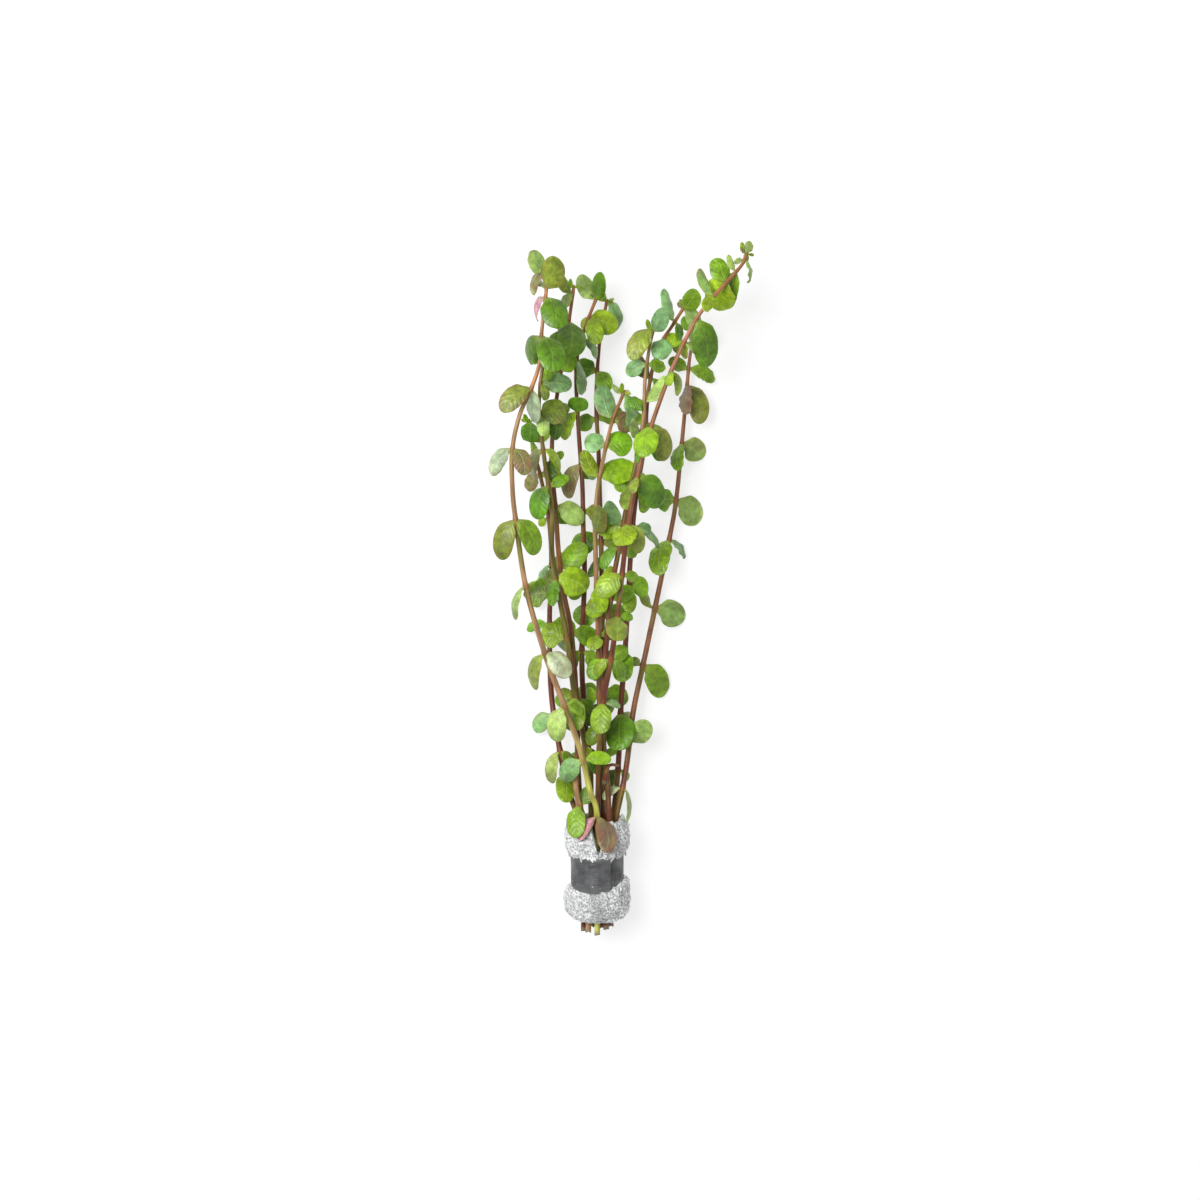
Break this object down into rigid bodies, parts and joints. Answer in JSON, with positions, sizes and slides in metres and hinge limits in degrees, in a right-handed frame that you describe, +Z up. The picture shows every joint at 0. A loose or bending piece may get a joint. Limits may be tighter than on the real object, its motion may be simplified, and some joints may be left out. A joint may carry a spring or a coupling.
{
  "type": "rotala aquarium plant bunch",
  "caption": "Bunch of cut aquarium stems with round leaves in opposite pairs, held at the base by a foam sleeve and a soft metal strip, lying on its side.",
  "frame": {"origin": "on the surface that the bunch lies on, in the flat under the foam sleeve's lower bulge, on the bunch's middle line", "axes": "+Y from the cut ends of the stems to the tips, +Z up out of the surface, +X to the right seen from above with the tips up"},
  "size_m": [0.0909, 0.2476, 0.0437],
  "materials": {
    "foam": "rough",
    "leaf_blue": "satin",
    "leaf_dark": "satin",
    "leaf_green": "satin",
    "leaf_lime": "satin",
    "leaf_olive": "satin",
    "leaf_pale": "satin",
    "leaf_plum": "satin",
    "leaf_red": "satin",
    "leaf_white": "satin",
    "stem": "satin",
    "strip": "matte"
  },
  "bodies": {
    "root": {"foam_sleeve": "foam", "leaf_back_left_01_a": "leaf_green", "leaf_centre_06_a": "leaf_red", "leaf_centre_08_a": "leaf_blue", "leaf_centre_10_a": "leaf_lime", "leaf_front_left_01_b": "leaf_plum", "leaf_front_left_03_a": "leaf_pale", "leaf_front_left_04_a": "leaf_olive", "leaf_front_left_04_b": "leaf_white", "leaf_front_left_05_b": "leaf_green", "leaf_front_left_06_a": "leaf_olive", "leaf_front_left_06_b": "leaf_green", "leaf_front_left_08_a": "leaf_olive", "leaf_front_left_08_b": "leaf_white", "leaf_front_left_09_a": "leaf_dark", "leaf_front_left_09_b": "leaf_dark", "leaf_front_left_10_a": "leaf_dark", "leaf_front_left_11_a": "leaf_olive", "leaf_front_right_01_a": "leaf_green", "leaf_front_right_04_a": "leaf_lime", "leaf_front_right_06_a": "leaf_dark", "leaf_front_right_07_a": "leaf_lime", "leaf_front_right_07_b": "leaf_olive", "leaf_front_right_10_a": "leaf_dark", "leaf_front_right_12_b": "leaf_lime", "leaf_front_right_13_b": "leaf_green", "leaf_inner_left_04_a": "leaf_green", "leaf_inner_left_09_a": "leaf_dark", "leaf_mid_left_02_a": "leaf_green", "leaf_mid_left_04_a": "leaf_lime", "leaf_mid_left_05_a": "leaf_dark", "leaf_mid_left_06_b": "leaf_red", "leaf_middle_05_a": "leaf_olive", "leaf_middle_06_a": "leaf_lime", "leaf_middle_08_a": "leaf_blue", "leaf_right_02_a": "leaf_pale", "leaf_right_03_a": "leaf_green", "leaf_right_04_a": "leaf_pale", "leaf_right_05_b": "leaf_green", "leaf_right_06_a": "leaf_pale", "leaf_right_08_a": "leaf_olive", "leaf_right_08_b": "leaf_plum", "leaf_right_back_10_a": "leaf_olive", "leaf_right_inner_02_a": "leaf_dark", "leaf_right_inner_02_b": "leaf_green", "leaf_right_inner_03_a": "leaf_green", "leaf_right_inner_07_a": "leaf_dark", "stem_back_left": "stem", "stem_broken": "stem", "stem_centre": "stem", "stem_front_left": "stem", "stem_front_right": "stem", "stem_inner_left": "stem", "stem_mid_left": "stem", "stem_middle": "stem", "stem_right": "stem", "stem_right_back": "stem", "stem_right_inner": "stem", "stem_underneath": "stem", "weight_strip": "strip"}
  },
  "joints": []
}
